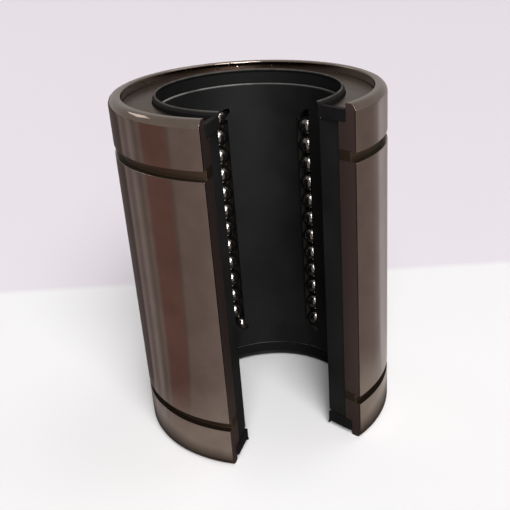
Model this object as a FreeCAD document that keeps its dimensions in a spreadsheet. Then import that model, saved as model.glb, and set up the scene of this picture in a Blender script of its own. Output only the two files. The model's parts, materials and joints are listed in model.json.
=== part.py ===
# Open-type linear ball bushing for a supported shaft.
# Frame: the origin is on the bore's axis at mid-length, +Z runs along the bore and the shaft slot
# faces -Y. Angles round the bore are counted from -Y towards +X. Millimetres and degrees.
import FreeCAD, Part
import os
import re

import Sketcher
from FreeCAD import Vector

CIRCUITS = 5
BALLS_PER_TURN = 2
TURN_STEP = 180 / BALLS_PER_TURN
START, END, CENTRE = range(1, 4)
ORIGIN_POINT = (-1, 1)
SLOT_SIDES = (("right", ""), ("left", "-"))

# Driving dimensions: name, size, what it is.
SIZES = (
    ("shaft_diameter", 40, "shaft that the bushing runs on"),
    ("ball_diameter", 4.75, "ball"),
    ("ball_gap", 0.1, "play between neighbouring balls"),
    ("channel_clearance", 0.1, "ball to the wall of its channel"),
    ("window_lip", 0.475, "retainer lip that holds a loaded ball, on each side of its window"),
    ("raceway_clearance", 0.1, "loaded ball to the sleeve's raceway"),
    ("return_lift", 1.05, "return row further out than the loaded row"),
    ("return_clearance", 0.45, "return ball to the sleeve's bore"),
    ("sleeve_wall", 3.75, "sleeve wall between the raceways"),
    ("sleeve_length", 80, "sleeve, end to end"),
    ("edge_round", 1.6, "rounded outer edge of each end"),
    ("slot_angle", 62, "opening between the sleeve's flanks"),
    ("edge_angle", 5, "thicker strip of the sleeve along each side of the slot"),
    ("edge_height", 0.9, "thicker strip, inwards from the sleeve's bore"),
    ("edge_root", 1, "depth to which a thicker strip reaches into the wall"),
    ("groove_offset", 9.75, "end face to the near side of a ring groove"),
    ("groove_width", 2.1, "retaining-ring groove"),
    ("groove_depth", 1.5, "retaining-ring groove"),
    ("raceway_width", 6, "raised raceway in the sleeve's bore"),
    ("raceway_root", 1, "depth to which a raceway reaches into the wall"),
    ("raceway_play", 0.1, "raceway to the retainer on each side"),
    ("loaded_row_angle", 10.5, "middle of a circuit's share of the bore to its loaded row"),
    ("pocket_depth", 3.8, "seal pocket in each end"),
    ("pocket_step", 1.05, "seal pocket wider than the sleeve's bore, on the radius"),
    ("bore_clearance", 0.1, "retainer bore to the shaft, on the radius"),
    ("bore_chamfer", 0.4, "chamfer at each end of the retainer's bore"),
    ("retainer_play", 0.1, "retainer to the sleeve and to the seals"),
    ("retainer_setback", 1, "retainer's opening wider than the slot, as an angle"),
    ("end_wall", 3, "least retainer wall beyond a turn"),
    ("seal_play", 0.05, "seal and plate to the pocket's wall"),
    ("seal_overhang", 1.6, "seal's opening narrower than the slot, as an angle"),
    ("seal_thickness", 0.9, "flange of a seal"),
    ("collar_height", 3.3, "collar of a seal, from the pocket's floor"),
    ("collar_wall", 0.5, "collar of a seal"),
    ("collar_relief", 0.3, "collar to the shaft below the lip, on the radius"),
    ("lip_height", 0.8, "lip at the top of a collar, which leans in to the shaft"),
    ("lip_round", 0.3, "rounded edge of a lip"),
    ("rib_angle", 3, "rib that closes a seal at each side of the slot"),
    ("rib_play", 0.2, "plate to a rib, as an angle"),
    ("plate_thickness", 0.9, "steel plate on a seal"),
    ("plate_round", 0.2, "rounded rim of a plate"),
    ("ball_phase_1", 0.5, "first ball of a row past its turn, as a share of the pitch"),
    ("ball_phase_2", 0.85, "the same, second circuit"),
    ("ball_phase_3", 0.33, "the same, third circuit"),
    ("ball_phase_4", 0.4, "the same, fourth circuit"),
    ("ball_phase_5", 0.6, "the same, fifth circuit"),
)

# Dimensions worked out from those above.
WORKED = (
    ("shaft_radius", "shaft_diameter / 2"),
    ("ball_radius", "ball_diameter / 2"),
    ("ball_pitch", "ball_diameter + ball_gap"),
    ("channel_radius", "ball_radius + channel_clearance"),
    ("window_half", "ball_radius - window_lip"),
    ("turn_radius", f"ball_pitch / (2 * sin({TURN_STEP / 2}))"),
    ("row_spacing", "2 * turn_radius"),
    ("loaded_radius", "shaft_radius + ball_radius"),
    ("return_radius", "loaded_radius + return_lift"),
    ("loaded_x", "(return_radius ^ 2 - loaded_radius ^ 2 - row_spacing ^ 2) / (2 * row_spacing)"),
    ("return_x", "loaded_x + row_spacing"),
    ("turn_x", "loaded_x + turn_radius"),
    ("circuit_y", "sqrt(loaded_radius ^ 2 - loaded_x ^ 2)"),
    ("raceway_y", "loaded_radius + ball_radius + raceway_clearance"),
    ("sleeve_bore", "return_radius + ball_radius + return_clearance"),
    ("outer_radius", "sleeve_bore + sleeve_wall"),
    ("groove_floor", "outer_radius - groove_depth"),
    ("edge_bore", "sleeve_bore - edge_height"),
    ("edge_middle", "(slot_angle + edge_angle) / 2"),
    ("pocket_radius", "sleeve_bore + pocket_step"),
    ("half_length", "sleeve_length / 2"),
    ("groove_near", "half_length - groove_offset"),
    ("groove_far", "groove_near - groove_width"),
    ("pocket_floor", "half_length - pocket_depth"),
    ("retainer_bore", "shaft_radius + bore_clearance"),
    ("retainer_outer", "sleeve_bore - retainer_play"),
    ("retainer_half", "pocket_floor - retainer_play"),
    ("row_room", "retainer_half - turn_radius - channel_radius - end_wall"),
    ("balls_per_row", "floor(2 * row_room / ball_pitch)"),
    ("row_half", "balls_per_row * ball_pitch / 2"),
    ("circuit_step", f"(360 - slot_angle) / {CIRCUITS}"),
    ("first_row_angle", "slot_angle / 2 + circuit_step / 2 + loaded_row_angle"),
    ("seal_outer", "pocket_radius - seal_play"),
    ("collar_bore", "shaft_radius + collar_relief"),
    ("collar_outer", "collar_bore + collar_wall"),
    ("collar_top", "pocket_floor + collar_height"),
    ("lip_root", "collar_top - lip_height"),
    ("seal_span", "360 - slot_angle + seal_overhang"),
    ("rib_middle", "(360 - seal_span + rib_angle) / 2"),
    ("plate_bore", "collar_outer + seal_play"),
    ("plate_floor", "pocket_floor + seal_thickness"),
    ("plate_top", "plate_floor + plate_thickness"),
)

DRIVING_NAMES = {name for name, size, note in SIZES}
WORKED_NAMES = {name for name, formula in WORKED}

doc = FreeCAD.newDocument("open_ball_bushing")
sizes_sheet = doc.addObject("Spreadsheet::Sheet", "Sizes")
worked_sheet = doc.addObject("Spreadsheet::Sheet", "Worked")


def bound(formula):
    """Return the formula with each dimension's name led by its sheet."""
    def with_sheet(match):
        word = match.group()
        if word in DRIVING_NAMES:
            return f"Sizes.{word}"
        if word in WORKED_NAMES:
            return f"Worked.{word}"
        return word
    return re.sub(r"[a-z_][a-z_0-9]*", with_sheet, formula)


def number(formula):
    """Return what a formula comes to."""
    return float(worked_sheet.evalExpression(bound(formula)))


def fill_sheets():
    """Write the driving dimensions, and the formulas that follow from them."""
    for row, (name, size, note) in enumerate(SIZES, start=1):
        sizes_sheet.set(f"A{row}", note)
        sizes_sheet.set(f"B{row}", str(size))
        sizes_sheet.setAlias(f"B{row}", name)
    for row, (name, formula) in enumerate(WORKED, start=1):
        worked_sheet.set(f"A{row}", "=" + bound(formula))
        worked_sheet.setAlias(f"A{row}", name)
    doc.recompute()


def turned(axis, angle):
    """Return the formula of a placement turned about an axis through the origin."""
    return bound(f"placement(vector(0; 0; 0); rotation(vector({axis}); {angle}))")


def origin_part(body, role):
    """Return one of a body's origin planes or axes."""
    return next(part for part in body.Origin.OriginFeatures if part.Role == role)


def new_body(label, placement=None):
    """Add a body for one piece."""
    body = doc.addObject("PartDesign::Body", label)
    body.Label = label
    if placement:
        body.setExpression("Placement", placement)
    return body


def new_sketch(body, name, plane, offset=None):
    """Add a sketch on one of the body's origin planes."""
    sketch = body.newObject("Sketcher::SketchObject", f"{body.Label}_{name}")
    sketch.AttachmentSupport = (origin_part(body, plane), "")
    sketch.MapMode = "FlatFace"
    if offset:
        sketch.setExpression("AttachmentOffset", offset)
    return sketch


def pin_point(sketch, edge, point, x=None, y=None):
    """Hold a point of a sketch's edge at the given formulas."""
    for kind, formula in (("DistanceX", x), ("DistanceY", y)):
        if formula is not None:
            rule = Sketcher.Constraint(kind, *ORIGIN_POINT, edge, point, number(formula))
            index = sketch.addConstraint(rule)
            sketch.setExpression(f"Constraints[{index}]", bound(formula))


def add_loop(sketch, corners, arc_centres=None):
    """Draw a closed outline, counter-clockwise; arc_centres gives the rounded sides' centres."""
    arc_centres = arc_centres or {}
    places = [Vector(number(x), number(y), 0) for x, y in corners]
    first = sketch.GeometryCount
    count = len(corners)
    for side, begin in enumerate(places):
        finish = places[(side + 1) % count]
        if side in arc_centres:
            middle = Vector(*(number(formula) for formula in arc_centres[side]), 0)
            circle = Part.Circle(middle, Vector(0, 0, 1), begin.distanceToPoint(middle))
            sketch.addGeometry(Part.ArcOfCircle(circle, circle.parameter(begin), circle.parameter(finish)))
        else:
            sketch.addGeometry(Part.LineSegment(begin, finish))
    for side, (x, y) in enumerate(corners):
        following = (side + 1) % count
        sketch.addConstraint(Sketcher.Constraint("Coincident", first + side, END, first + following, START))
        pin_point(sketch, first + side, START, x, y)
    for side, (x, y) in arc_centres.items():
        pin_point(sketch, first + side, CENTRE, y=y)


def revolve(body, name, section, angle, kind="Revolution"):
    """Turn a section about the bore's axis, evenly to both sides of its plane; a Groove cuts."""
    ring = body.newObject(f"PartDesign::{kind}", f"{body.Label}_{name}")
    ring.Profile = section
    ring.ReferenceAxis = (section, ["V_Axis"])
    ring.Midplane = True
    ring.setExpression("Angle", bound(angle))
    return ring


def repeat_round(body, features):
    """Repeat a circuit's features for every circuit."""
    pattern = body.newObject("PartDesign::PolarPattern", f"{body.Label}_circuits")
    pattern.Originals = features
    pattern.Axis = (origin_part(body, "Z_Axis"), [""])
    pattern.Occurrences = CIRCUITS
    pattern.setExpression("Angle", bound(f"circuit_step * {CIRCUITS - 1}"))
    body.Tip = pattern
    return pattern


def circuit_body(label):
    """Add a body whose own +Y looks along the first loaded row."""
    return new_body(label, turned("0; 0; 1", "first_row_angle - 180"))


def facing(angle, own="first_row_angle"):
    """Return the turn that brings a section from its body's own angle to another."""
    return turned("0; 1; 0", f"{angle} - {own}")


def box_corners(inner, outer, low, high):
    """Return a box's outline from its limits across and up."""
    return [(inner, low), (outer, low), (outer, high), (inner, high)]


def add_sides(body, name, corners, span, middle, own="first_row_angle", kind="Revolution"):
    """Turn a section at both sides of the slot, centred on an angle from the slot's middle."""
    for side, sign in SLOT_SIDES:
        section = new_sketch(body, f"{side}_{name}_section", "YZ_Plane", facing(f"{sign}{middle}", own))
        add_loop(section, corners)
        revolve(body, f"{side}_{name}", section, span, kind)


def raceway_corners(play, inner, outer):
    """Return a raceway's outline across the bore."""
    side = f"(raceway_width / 2 + {play})"
    return [(f"-{side}", inner), (side, inner), (side, outer), (f"-{side}", outer)]


def make_sleeve():
    """Steel sleeve with its slot, ring grooves, seal pockets and raised raceways."""
    body = circuit_body("outer_sleeve")
    section = new_sketch(body, "section", "YZ_Plane", facing("180"))
    add_loop(
        section,
        [
            ("pocket_radius", "-half_length"),
            ("outer_radius - edge_round", "-half_length"),
            ("outer_radius", "edge_round - half_length"),
            ("outer_radius", "-groove_near"),
            ("groove_floor", "-groove_near"),
            ("groove_floor", "-groove_far"),
            ("outer_radius", "-groove_far"),
            ("outer_radius", "groove_far"),
            ("groove_floor", "groove_far"),
            ("groove_floor", "groove_near"),
            ("outer_radius", "groove_near"),
            ("outer_radius", "half_length - edge_round"),
            ("outer_radius - edge_round", "half_length"),
            ("pocket_radius", "half_length"),
            ("pocket_radius", "pocket_floor"),
            ("sleeve_bore", "pocket_floor"),
            ("sleeve_bore", "-pocket_floor"),
            ("pocket_radius", "-pocket_floor"),
        ],
        {
            1: ("outer_radius - edge_round", "edge_round - half_length"),
            11: ("outer_radius - edge_round", "half_length - edge_round"),
        },
    )
    revolve(body, "ring", section, "360 - slot_angle")
    strip = box_corners("edge_bore", "sleeve_bore + edge_root", "-pocket_floor", "pocket_floor")
    add_sides(body, "edge", strip, "edge_angle", "edge_middle")
    outline = new_sketch(body, "raceway_outline", "XY_Plane")
    add_loop(outline, raceway_corners("0", "raceway_y", "(sleeve_bore + raceway_root)"))
    doc.recompute()
    raceway = body.newObject("PartDesign::Pad", "outer_sleeve_raceway")
    raceway.Profile = outline
    raceway.Midplane = True
    raceway.setExpression("Length", bound("2 * pocket_floor"))
    repeat_round(body, [raceway])
    return body


def track_loop(grow):
    """Return a ball track's outline on its plane, grown to each side by a formula."""
    left = f"(loaded_x - {grow})"
    right = f"(return_x + {grow})"
    corners = [(right, "-row_half"), (right, "row_half"), (left, "row_half"), (left, "-row_half")]
    return corners, {1: ("turn_x", "row_half"), 3: ("turn_x", "-row_half")}


def cut_track(body):
    """Cut one endless ball track: a round channel, open towards the sleeve."""
    on_plane = bound("placement(vector(0; 0; -circuit_y); rotation(vector(0; 0; 1); 0))")
    path = new_sketch(body, "track_path", "XZ_Plane", on_plane)
    add_loop(path, *track_loop("0"))
    ball_circle = new_sketch(body, "track_circle", "XY_Plane")
    middle = Vector(number("return_x"), number("circuit_y"), 0)
    ball_circle.addGeometry(Part.Circle(middle, Vector(0, 0, 1), number("channel_radius")))
    pin_point(ball_circle, 0, CENTRE, "return_x", "circuit_y")
    size = ball_circle.addConstraint(Sketcher.Constraint("Radius", 0, number("channel_radius")))
    ball_circle.setExpression(f"Constraints[{size}]", bound("channel_radius"))
    doc.recompute()
    channel = body.newObject("PartDesign::SubtractivePipe", f"{body.Label}_channel")
    channel.Profile = ball_circle
    channel.Spine = (path, [f"Edge{edge}" for edge in range(1, path.GeometryCount + 1)])
    opening_outline = new_sketch(body, "opening_outline", "XZ_Plane", on_plane)
    add_loop(opening_outline, *track_loop("channel_radius"))
    add_loop(opening_outline, *track_loop("(-channel_radius)"))
    doc.recompute()
    opening = body.newObject("PartDesign::Pocket", f"{body.Label}_opening")
    opening.Profile = opening_outline
    opening.Type = "ThroughAll"
    return [channel, opening]


def cut_window(body):
    """Cut the window, narrower than a ball, through which a loaded row meets the shaft."""
    outline = new_sketch(body, "window_outline", "XY_Plane")
    sides = ("loaded_x - window_half", "loaded_x + window_half")
    add_loop(outline, box_corners(*sides, "circuit_y - ball_diameter", "circuit_y"))
    doc.recompute()
    window = body.newObject("PartDesign::Pocket", f"{body.Label}_window")
    window.Profile = outline
    window.Midplane = True
    window.setExpression("Length", bound("2 * row_half + ball_radius"))
    return window


def make_retainer():
    """Resin ball retainer: a slotted tube with five windowed ball tracks and room for the raceways."""
    body = circuit_body("ball_retainer")
    section = new_sketch(body, "section", "YZ_Plane", facing("180"))
    add_loop(
        section,
        [
            ("retainer_bore + bore_chamfer", "-retainer_half"),
            ("retainer_outer", "-retainer_half"),
            ("retainer_outer", "retainer_half"),
            ("retainer_bore + bore_chamfer", "retainer_half"),
            ("retainer_bore", "retainer_half - bore_chamfer"),
            ("retainer_bore", "bore_chamfer - retainer_half"),
        ],
    )
    revolve(body, "tube", section, "360 - slot_angle - retainer_setback")
    step = box_corners("edge_bore - retainer_play", "outer_radius", "-half_length", "half_length")
    add_sides(body, "step", step, "edge_angle + retainer_setback", "edge_middle", kind="Groove")
    outline = new_sketch(body, "raceway_outline", "XY_Plane")
    add_loop(outline, raceway_corners("raceway_play", "(raceway_y - raceway_play)", "outer_radius"))
    doc.recompute()
    raceway_slot = body.newObject("PartDesign::Pocket", "ball_retainer_raceway_slot")
    raceway_slot.Profile = outline
    raceway_slot.Type = "ThroughAll"
    raceway_slot.Midplane = True
    repeat_round(body, [raceway_slot] + cut_track(body) + [cut_window(body)])
    return body


def end_turn(end):
    """Return the placement of an end's pieces, which are drawn for the upper end."""
    return turned("0; 1; 0", "0" if end == "upper" else "180")


def make_seal(end):
    """Rubber end seal: a flange in the pocket, a collar with a lip, and a rib at each cut end."""
    body = new_body(f"{end}_seal", end_turn(end))
    section = new_sketch(body, "section", "YZ_Plane")
    add_loop(
        section,
        [
            ("collar_bore", "pocket_floor"),
            ("seal_outer", "pocket_floor"),
            ("seal_outer", "plate_floor"),
            ("collar_outer", "plate_floor"),
            ("collar_outer", "lip_root"),
            ("shaft_radius + lip_round", "collar_top"),
            ("shaft_radius", "collar_top - lip_round"),
            ("collar_bore", "lip_root"),
        ],
        {5: ("shaft_radius + lip_round", "collar_top - lip_round")},
    )
    revolve(body, "ring", section, "seal_span")
    rib = box_corners("collar_outer - collar_wall / 2", "seal_outer", "pocket_floor", "lip_root")
    add_sides(body, "rib", rib, "rib_angle", "rib_middle", "180")
    return body


def make_seal_plate(end):
    """Steel plate that backs a seal, with a rounded outer rim."""
    body = new_body(f"{end}_seal_plate", end_turn(end))
    section = new_sketch(body, "section", "YZ_Plane")
    add_loop(
        section,
        [
            ("plate_bore", "plate_floor"),
            ("seal_outer", "plate_floor"),
            ("seal_outer", "plate_top - plate_round"),
            ("seal_outer - plate_round", "plate_top"),
            ("plate_bore", "plate_top"),
        ],
        {2: ("seal_outer - plate_round", "plate_top - plate_round")},
    )
    revolve(body, "ring", section, "seal_span - 2 * (rib_angle + rib_play)")
    return body


def make_ball_group(label, circuit, places):
    """Group of separate balls; each place is x and z in the circuit's plane, as formulas."""
    balls = []
    for order, (x, z) in enumerate(places, start=1):
        ball = doc.addObject("Part::Sphere", f"{label}_ball_{order}")
        ball.setExpression("Radius", bound("ball_radius"))
        ball.setExpression("Placement.Base.x", bound(x))
        ball.setExpression("Placement.Base.y", bound("circuit_y"))
        ball.setExpression("Placement.Base.z", bound(z))
        balls.append(ball)
    group = doc.addObject("Part::Compound", label)
    group.Label = label
    group.Links = balls
    angle = f"first_row_angle - 180 + circuit_step * {circuit - 1}"
    group.setExpression("Placement", turned("0; 0; 1", angle))
    return group


def make_circuit(circuit):
    """The four ball groups of one endless circuit, each ball a pitch behind the next."""
    phase = f"ball_phase_{circuit}"
    row_balls = range(int(number("balls_per_row")))
    turn_balls = range(BALLS_PER_TURN)
    along = [f"({ball} + {phase}) * ball_pitch - row_half" for ball in row_balls]
    across = [f"turn_radius * cos({TURN_STEP} * ({ball} + {phase}))" for ball in turn_balls]
    beyond = [f"row_half + turn_radius * sin({TURN_STEP} * ({ball} + {phase}))" for ball in turn_balls]
    groups = {
        "loaded_row": [("loaded_x", z) for z in along],
        "upper_turn": [(f"turn_x - {x}", z) for x, z in zip(across, beyond)],
        "return_row": [("return_x", f"-({z})") for z in along],
        "lower_turn": [(f"turn_x + {x}", f"-({z})") for x, z in zip(across, beyond)],
    }
    return [make_ball_group(f"{name}_{circuit}", circuit, places) for name, places in groups.items()]


def check_document(pieces):
    """Stop if any object failed or any piece has no sound shape."""
    for item in doc.Objects:
        if "Invalid" in item.State or "Error" in item.State:
            raise RuntimeError(f"{item.Label} failed: {item.State}")
    for piece in pieces:
        if piece.Shape.isNull() or not piece.Shape.isValid():
            raise RuntimeError(f"{piece.Label} has no valid shape")


def main():
    """Build every piece and write it to its own file."""
    fill_sheets()
    pieces = [make_sleeve(), make_retainer()]
    for end in ("upper", "lower"):
        pieces += [make_seal(end), make_seal_plate(end)]
    for circuit in range(1, CIRCUITS + 1):
        pieces += make_circuit(circuit)
    doc.recompute()
    check_document(pieces)
    os.makedirs("parts", exist_ok=True)
    for piece in pieces:
        piece.Shape.exportStep(os.path.join("parts", f"{piece.Label}.step"))


main()
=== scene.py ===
import json
import math

import bpy
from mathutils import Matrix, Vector

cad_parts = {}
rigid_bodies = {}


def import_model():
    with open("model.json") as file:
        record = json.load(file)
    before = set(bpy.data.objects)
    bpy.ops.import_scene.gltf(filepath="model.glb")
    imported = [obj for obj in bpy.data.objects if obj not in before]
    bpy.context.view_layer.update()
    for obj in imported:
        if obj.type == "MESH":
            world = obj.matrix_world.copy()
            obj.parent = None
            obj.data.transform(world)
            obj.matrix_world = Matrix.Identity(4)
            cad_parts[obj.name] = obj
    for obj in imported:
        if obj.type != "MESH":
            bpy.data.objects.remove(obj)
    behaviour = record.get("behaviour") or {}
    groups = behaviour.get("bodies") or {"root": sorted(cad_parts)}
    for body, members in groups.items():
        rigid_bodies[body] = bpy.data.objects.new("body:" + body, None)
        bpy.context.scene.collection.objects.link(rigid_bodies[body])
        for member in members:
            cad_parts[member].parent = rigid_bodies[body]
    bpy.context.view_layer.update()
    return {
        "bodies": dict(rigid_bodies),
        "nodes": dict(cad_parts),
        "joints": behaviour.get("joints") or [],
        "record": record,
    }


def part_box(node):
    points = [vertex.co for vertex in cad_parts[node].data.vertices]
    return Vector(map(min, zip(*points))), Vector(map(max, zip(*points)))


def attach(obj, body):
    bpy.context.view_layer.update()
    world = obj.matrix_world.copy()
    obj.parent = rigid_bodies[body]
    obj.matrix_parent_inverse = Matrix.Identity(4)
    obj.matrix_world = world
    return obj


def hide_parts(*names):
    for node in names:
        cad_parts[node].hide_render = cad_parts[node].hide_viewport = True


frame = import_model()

bl_info = {
    "name": "Open ball bushing",
    "version": (1, 0, 0),
    "blender": (4, 5, 0),
    "location": "3D view, sidebar, Bushing tab",
    "description": "Dresses the solids of an open linear ball bushing with finished pieces and materials",
    "category": "Object",
}

MM = 0.001
BODY = "bushing"
# the photograph's side in pixels and the sensor's width in millimetres
PHOTO_SIDE, SENSOR = 510, 36.0
CLIP_NEAR, CLIP_FAR = 0.01, 20.0

# sections: roundings of broken, sharp and recess-mouth corners, and where points hold the shading
CORNER, SHARP, MOUTH = 0.1 * MM, 0.02 * MM, 0.3 * MM
CORNER_STEPS = 5
HOLD, HOLD_SHARE = 0.12 * MM, 0.3
# edges sharper than the first angle are broken, and faces that meet below the second shade as one
BREAK_ANGLE, SMOOTH_ANGLE = math.radians(60), math.radians(50)
# how near to a surface a face lies that is picked from it, and how far a piece may miss its solid
PICK, MISS = 0.05 * MM, 0.1 * MM
# clearances round the retainer and round a seal
RETAINER_PLAY, SEAL_PLAY = 0.1 * MM, 0.05 * MM

MOUNTS = {mount["name"]: mount for mount in frame["record"]["mounts"]}
SHAFT_BORE = MOUNTS["shaft_bore"]["dims"]["r_mm"] * MM
JOINTS = {joint["child"]: joint for joint in frame["joints"]}
SLEEVE_LOW, SLEEVE_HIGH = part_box("outer_sleeve")
RETAINER_LOW, RETAINER_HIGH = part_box("ball_retainer")
SEAL_LOW, SEAL_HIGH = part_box("upper_seal")
PLATE_LOW, PLATE_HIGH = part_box("upper_seal_plate")
ROW_LOW, ROW_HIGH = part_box("loaded_row_1")
CIRCUITS = sum(1 for body in frame["bodies"] if body.startswith("loaded_row_"))

# stage: lamps stand at places in metres, the key and fill are suns with a spread
FLOOR_REACH = 3.0
FOLD_SOFT = 2 * MM
CARD_LIFT = 0.2 * MM
CARD_STEP = 5
KEY_PLACE, KEY_SPREAD = (-0.05, -2.0, 1.85), math.radians(38)
FILL_PLACE, FILL_SPREAD = (0.85, 0.15, 1.85), math.radians(30)
FRONT_PLACE, FRONT_SIZE = (-0.05, -0.5, 0.12), 0.12
PANE_PLACES, PANE_SIZE = ((-0.7, 0.66, 0.75), (-0.54, 0.84, 0.75)), 0.24
# the card's stripes start from two points inside the sleeve's wall, where its reflections seem to start
POLE_SIDE, POLE_FRONT = 17 * MM, 18 * MM
# middle of the card's near tone, as a distance from the axis and an angle from the camera's side
NEAR_PLACE, NEAR_TURN = 22 * MM, math.radians(20)
# the card's painted shade under the sleeve's edge ends between these distances from that edge
DARK_FROM, DARK_TO = 1 * MM, 5 * MM
# stripes by angle in degrees from the camera's side towards the right
CARD_STRIPES = (
    (-180, "dusk"), (-166, "shade"), (-135, "shade"), (-131, "pale"), (-123, "grey"), (-116, "light"),
    (-108, "grey"), (-102, "pale"), (-98, "brown"), (-74, "brown"), (-70, "grey"), (-67, "pale"),
    (0, "light"), (93, "pale"), (115, "pale"), (126, "light"), (130, "white"), (134, "white"),
    (148, "light"), (180, "dusk"),
)
PAPER = {"Roughness": 0.9, "Specular_IOR_Level": 0.1}


def linear(code):
    """Turn an sRGB hex colour into linear red, green and blue, opaque."""
    values = (int(code[i:i + 2], 16) / 255 for i in (1, 3, 5))
    return (*(v / 12.92 if v <= 0.04045 else ((v + 0.055) / 1.055) ** 2.4 for v in values), 1.0)


def gap_angle(low, radius):
    """Half the slot's angle, from how far a slotted ring reaches towards the slot."""
    return math.acos(-low.y / radius)


def length(label, about, default):
    """A size that a user may change, in metres."""
    return bpy.props.FloatProperty(
        name=label, description=about, default=default, unit="LENGTH", precision=5)


def angle(label, about, default):
    """An angle that a user may change, kept in radians."""
    return bpy.props.FloatProperty(
        name=label, description=about, default=default, subtype="ANGLE")


def colour(label, about, code):
    """A colour that a user may change, written as sRGB hex."""
    return bpy.props.FloatVectorProperty(
        name=label, description=about, default=linear(code), subtype="COLOR", size=4, min=0.0, max=1.0)


def strength(label, about, default):
    """The strength of a lamp or of the room's light."""
    return bpy.props.FloatProperty(name=label, description=about, default=default, min=0.0)


class BushingSizes(bpy.types.PropertyGroup):
    """Sizes of the rings, read from the solids where those give them"""

    outer_radius: length("Outer radius", "Ground outside of the sleeve", SLEEVE_HIGH.x)
    half_length: length("Half length", "Sleeve's mid-plane to its end face", SLEEVE_HIGH.z)
    edge_round: length("End rounding", "Radius round the sleeve's two ends", 1.6 * MM)
    slot_angle: angle("Half slot angle", "Slot's middle to the sleeve's flank",
                      gap_angle(SLEEVE_LOW, SLEEVE_HIGH.x))
    groove_place: length("Groove place", "Mid-plane to the middle of a ring groove",
                         MOUNTS["upper_ring_groove"]["pos_m"][2])
    groove_width: length("Groove width", "Width of a ring groove",
                         MOUNTS["upper_ring_groove"]["dims"]["length_mm"] * MM)
    groove_floor: length("Groove floor", "Radius of a ring groove's floor",
                         MOUNTS["upper_ring_groove"]["dims"]["r_mm"] * MM)
    sleeve_bore: length("Sleeve bore", "Radius inside the sleeve, round the retainer",
                        RETAINER_HIGH.x + RETAINER_PLAY)
    pocket_radius: length("Pocket radius", "Radius of the recess that holds a seal",
                          SEAL_HIGH.x + SEAL_PLAY)
    pocket_floor: length("Pocket floor", "Mid-plane to the floor of a seal's recess", SEAL_LOW.z)
    land_rise: length("Land rise", "Raceway land inwards from the sleeve's bore", 1.2 * MM)
    land_angle: angle("Land angle", "Share of the circle that a raceway land takes", math.radians(13.8))
    strip_rise: length("Strip rise", "Thicker strip beside the slot, from the sleeve's bore", 0.9 * MM)
    strip_angle: angle("Strip angle", "Share of the circle that a thicker strip takes", math.radians(5.0))
    edge_break: length("Edge break", "Rounding of the flanks' edges", 0.07 * MM)
    lip_radius: length("Lip radius", "Radius of the seal's lip", 20.0 * MM)
    lip_height: length("Lip height", "Height over which the seal's lip leans in", 0.8 * MM)
    lip_round: length("Lip rounding", "Rounded edge of the seal's lip", 0.3 * MM)
    collar_bore: length("Collar bore", "Radius inside the seal's collar, below its lip", 20.3 * MM)
    collar_radius: length("Collar radius", "Outer radius of the seal's collar", 20.8 * MM)
    rib_angle: angle("Rib angle", "Share of the circle that a seal's end rib takes", math.radians(3.0))
    bore_chamfer: length("Bore chamfer", "Chamfer at each end of the retainer's bore", 0.4 * MM)
    plate_bore: length("Plate bore", "Inner radius of a seal plate", 20.85 * MM)
    plate_round: length("Plate rounding", "Radius on a seal plate's edges", 0.2 * MM)
    ball_diameter: length("Ball diameter", "Diameter of a ball", ROW_HIGH.x - ROW_LOW.x)
    steps: bpy.props.IntProperty(
        name="Steps", description="Straight steps round a slotted ring", default=216, min=24)
    ball_facets: bpy.props.IntProperty(
        name="Ball facets", description="Times that a ball's faces are divided", default=3, min=1, max=4)


class BushingColours(bpy.types.PropertyGroup):
    """Colours of the finishes"""

    ground: colour("Ground steel", "Ground outside of the sleeve", "#8f8279")
    stained: colour("Stained steel", "Ground steel under a film of oil", "#877a71")
    scale: colour("Hardening scale", "Flanks that were not ground", "#7a6a65")
    # the groove colour is partly oil on the scale and partly painted shade inside the ring grooves
    groove: colour("Oiled scale", "Ring grooves, where oil lies on the scale", "#5d5043")
    plate: colour("Blackened steel", "Seal plates", "#5a4b3f")
    plate_oil: colour("Oiled steel", "Seal plates where oil has gathered", "#524439")
    resin: colour("Resin", "Ball retainer", "#151515")
    # a painted highlight on the chamfers at the ends of the retainer's bore
    resin_rim_highlight: colour("Worn resin", "Chamfers at the ends of the retainer's bore", "#95928f")
    # grease in the ball tracks, light grey against the resin: partly grease, partly painted light in the
    # shaded tracks
    grease: colour("Grease", "Film in the retainer's ball tracks", "#47453f")
    rubber: colour("Rubber", "End seals", "#0f0e0e")
    # a painted highlight along the top of the seals' lips
    rubber_lip_highlight: colour("Rubbed rubber", "End seals where they have been rubbed", "#6a6763")
    ball: colour("Ball steel", "Balls", "#7d7a76")


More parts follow.
